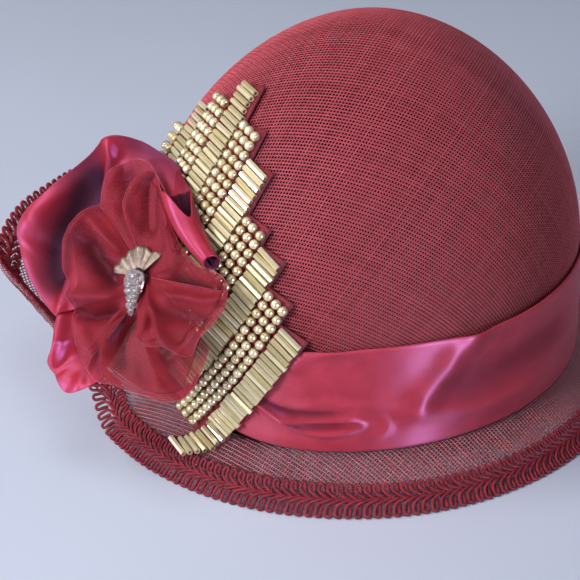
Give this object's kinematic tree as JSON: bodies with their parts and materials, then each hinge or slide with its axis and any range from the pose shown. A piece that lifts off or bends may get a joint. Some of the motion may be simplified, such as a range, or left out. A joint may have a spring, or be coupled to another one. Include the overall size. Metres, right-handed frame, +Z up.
{
  "type": "brimmed dress hat",
  "caption": "Domed straw-cloth hat with a braid-edged brim turned up on one side, a satin band, a beaded panel, and a satin and organza flower with a brooch; worn on the head.",
  "frame": {"origin": "centre of the outer box on the plane that the hat rests on", "axes": "+Z up through the crown, -Y towards the trimmed front, +X to the wearer's left"},
  "size_m": [0.2338, 0.2644, 0.1635],
  "materials": {
    "straw": "open-weave straw cloth, matt",
    "braid": "looped gimp cord, soft sheen",
    "satin": "satin, glossy",
    "organza": "sheer organza",
    "beads": "metal-lined champagne glass beads",
    "brooch": "brushed pale gold with clear stones"
  },
  "bodies": {
    "root": {"crown": "straw", "brim": "straw", "edge_braid": "braid", "hat_band": "satin", "bead_panel": "beads", "satin_petal_lower": "satin", "satin_petal_upper": "satin", "satin_roll": "satin", "organza_petal_low": "organza", "organza_petal_left": "organza", "organza_petal_back": "organza", "organza_petal_side": "organza", "organza_petal_front": "organza", "brooch": "brooch"}
  },
  "joints": []
}
